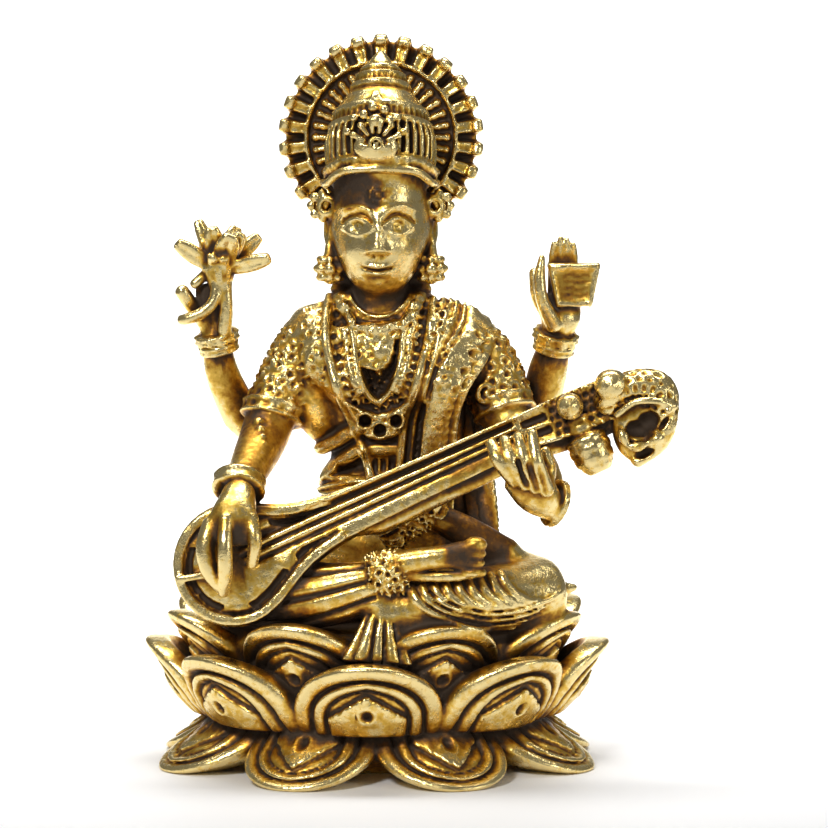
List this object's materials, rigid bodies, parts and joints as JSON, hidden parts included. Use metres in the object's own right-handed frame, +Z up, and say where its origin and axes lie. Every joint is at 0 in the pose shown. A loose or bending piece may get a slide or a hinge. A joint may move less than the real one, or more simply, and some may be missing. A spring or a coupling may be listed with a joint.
{
  "type": "seated deity figure",
  "caption": "Small cast brass goddess seated cross-legged on a double lotus, playing a veena, with a rayed halo; stands on a shelf or altar.",
  "frame": {"origin": "middle of the flat round in the underside of the lotus base", "axes": "+Z up from the base to the halo, -Y out of the front towards the viewer, +X to the figure's left"},
  "size_m": [0.0644, 0.0434, 0.09],
  "materials": {
    "antique_brass": "antiqued cast brass, yellow gold on the high points with dark brown patina in the carving"
  },
  "bodies": {
    "root": {"saraswati_figure": "antique_brass"}
  },
  "joints": []
}
